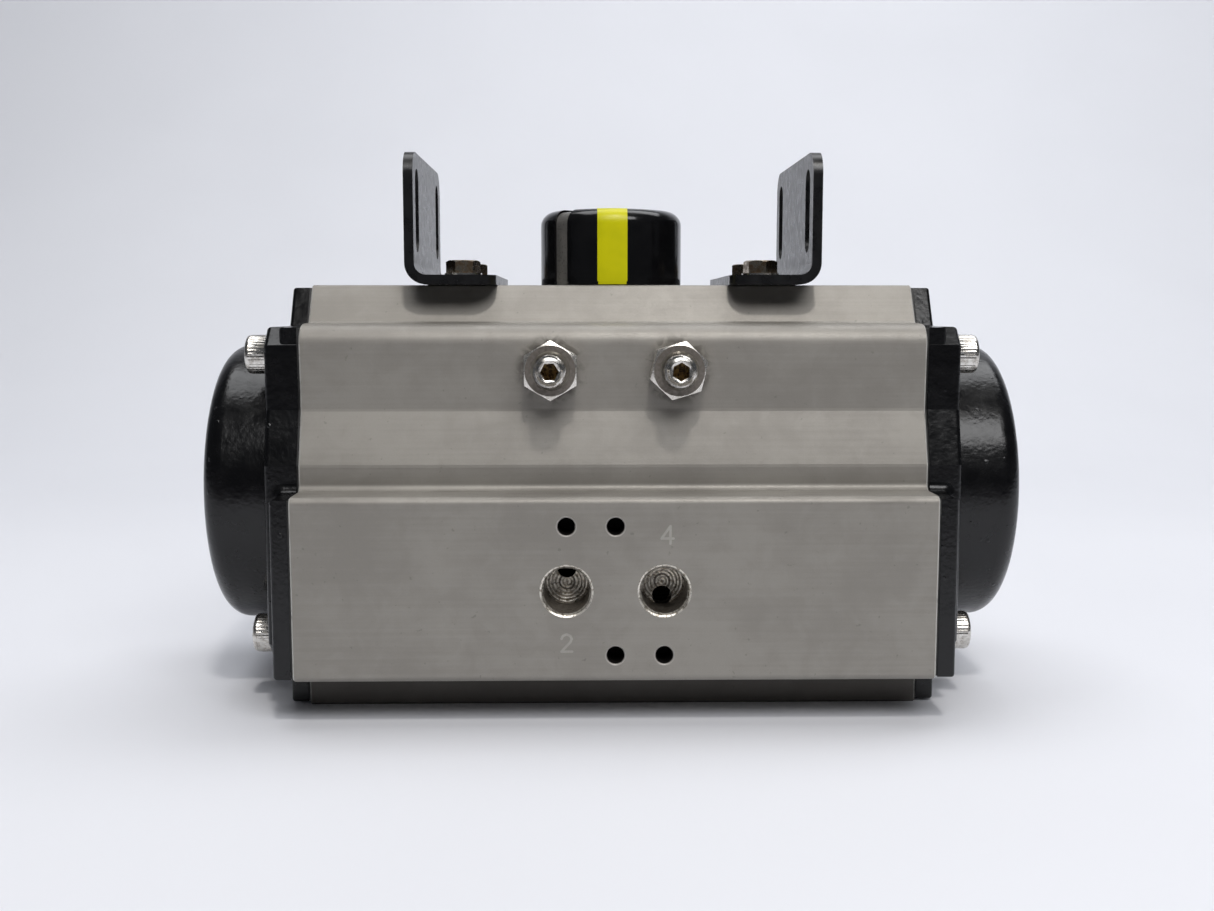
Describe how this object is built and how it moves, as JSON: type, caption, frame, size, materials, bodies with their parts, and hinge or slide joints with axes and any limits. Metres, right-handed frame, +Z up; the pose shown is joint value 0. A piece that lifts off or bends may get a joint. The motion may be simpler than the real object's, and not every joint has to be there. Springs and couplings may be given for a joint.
{
  "type": "rotary pneumatic actuator",
  "caption": "Double-acting rack-and-pinion quarter-turn air actuator with an extruded housing, domed end caps, travel stops, accessory brackets and a round position indicator.",
  "frame": {"origin": "on the pinion's axis, in the bottom face that bolts to the valve", "axes": "+X to the right along the bore, +Y to the back, away from the air ports, +Z up along the pinion towards the indicator"},
  "size_m": [0.2122, 0.103, 0.143],
  "materials": {
    "body_aluminium": "matt grey hard-anodised extrusion",
    "cap_black": "black powder coat, semi-gloss with orange peel",
    "bracket_black": "smooth black paint",
    "stainless": "bright rolled stainless fasteners",
    "spring_steel": "dark spring steel",
    "pinion_steel": "nickel-plated carbon steel",
    "cast_aluminium": "bright die casting",
    "seal_rubber": "black nitrile rubber",
    "bearing_plastic": "natural acetal",
    "indicator_black": "glossy black moulding",
    "indicator_yellow": "bright greenish yellow moulding",
    "indicator_grey": "grey moulding"
  },
  "bodies": {
    "root": {"housing": "body_aluminium", "lower_pinion_bush": "bearing_plastic", "upper_pinion_bush": "bearing_plastic", "slide_washer": "bearing_plastic", "end_cap_gasket_right": "seal_rubber", "end_cap_gasket_left": "seal_rubber", "end_cap_right": "cap_black", "end_cap_left": "cap_black", "end_cap_screws_right": "stainless", "end_cap_screws_left": "stainless", "stop_seal_right": "seal_rubber", "stop_seal_left": "seal_rubber", "stop_nut_right": "stainless", "stop_nut_left": "stainless", "bracket_right": "bracket_black", "bracket_left": "bracket_black", "bracket_washers_right": "stainless", "bracket_washers_left": "stainless", "bracket_bolts_right": "stainless", "bracket_bolts_left": "stainless"},
    "pinion": {"pinion": "pinion_steel", "pinion_seal_lower": "seal_rubber", "pinion_seal_upper": "seal_rubber", "steel_washer": "stainless", "snap_ring": "spring_steel", "stop_cam": "pinion_steel", "indicator_cap": "indicator_black", "indicator_pointer": "indicator_yellow", "indicator_index_bar": "indicator_grey", "indicator_screw": "stainless"},
    "piston_right": {"piston_right": "cast_aluminium", "piston_guide_band_right": "bearing_plastic", "piston_seal_right": "seal_rubber", "rack_pad_right": "bearing_plastic"},
    "stop_screw_right": {"stop_screw_right": "stainless"},
    "piston_left": {"piston_left": "cast_aluminium", "piston_guide_band_left": "bearing_plastic", "piston_seal_left": "seal_rubber", "rack_pad_left": "bearing_plastic"},
    "stop_screw_left": {"stop_screw_left": "stainless"}
  },
  "joints": [
    {"name": "pinion_turn", "type": "hinge", "parent": "root", "child": "pinion", "pos_m": [0, 0, 0], "axis": [0, 0, 1], "range_deg": [0, 90]},
    {"name": "piston_right_slide", "type": "slide", "parent": "root", "child": "piston_right", "axis": [1, 0, 0], "range_m": [0, 0.0252]},
    {"name": "piston_left_slide", "type": "slide", "parent": "root", "child": "piston_left", "axis": [-1, 0, 0], "range_m": [0, 0.0252]},
    {"name": "stop_screw_right_adjust", "type": "slide", "parent": "root", "child": "stop_screw_right", "axis": [0, -1, 0], "range_m": [0, 0.003]},
    {"name": "stop_screw_left_adjust", "type": "slide", "parent": "root", "child": "stop_screw_left", "axis": [0, -1, 0], "range_m": [0, 0.003]}
  ],
  "couplings": [
    {"joint": "piston_right_slide", "follows": "pinion_turn", "m_per_rad": 0.016},
    {"joint": "piston_left_slide", "follows": "pinion_turn", "m_per_rad": 0.016}
  ]
}
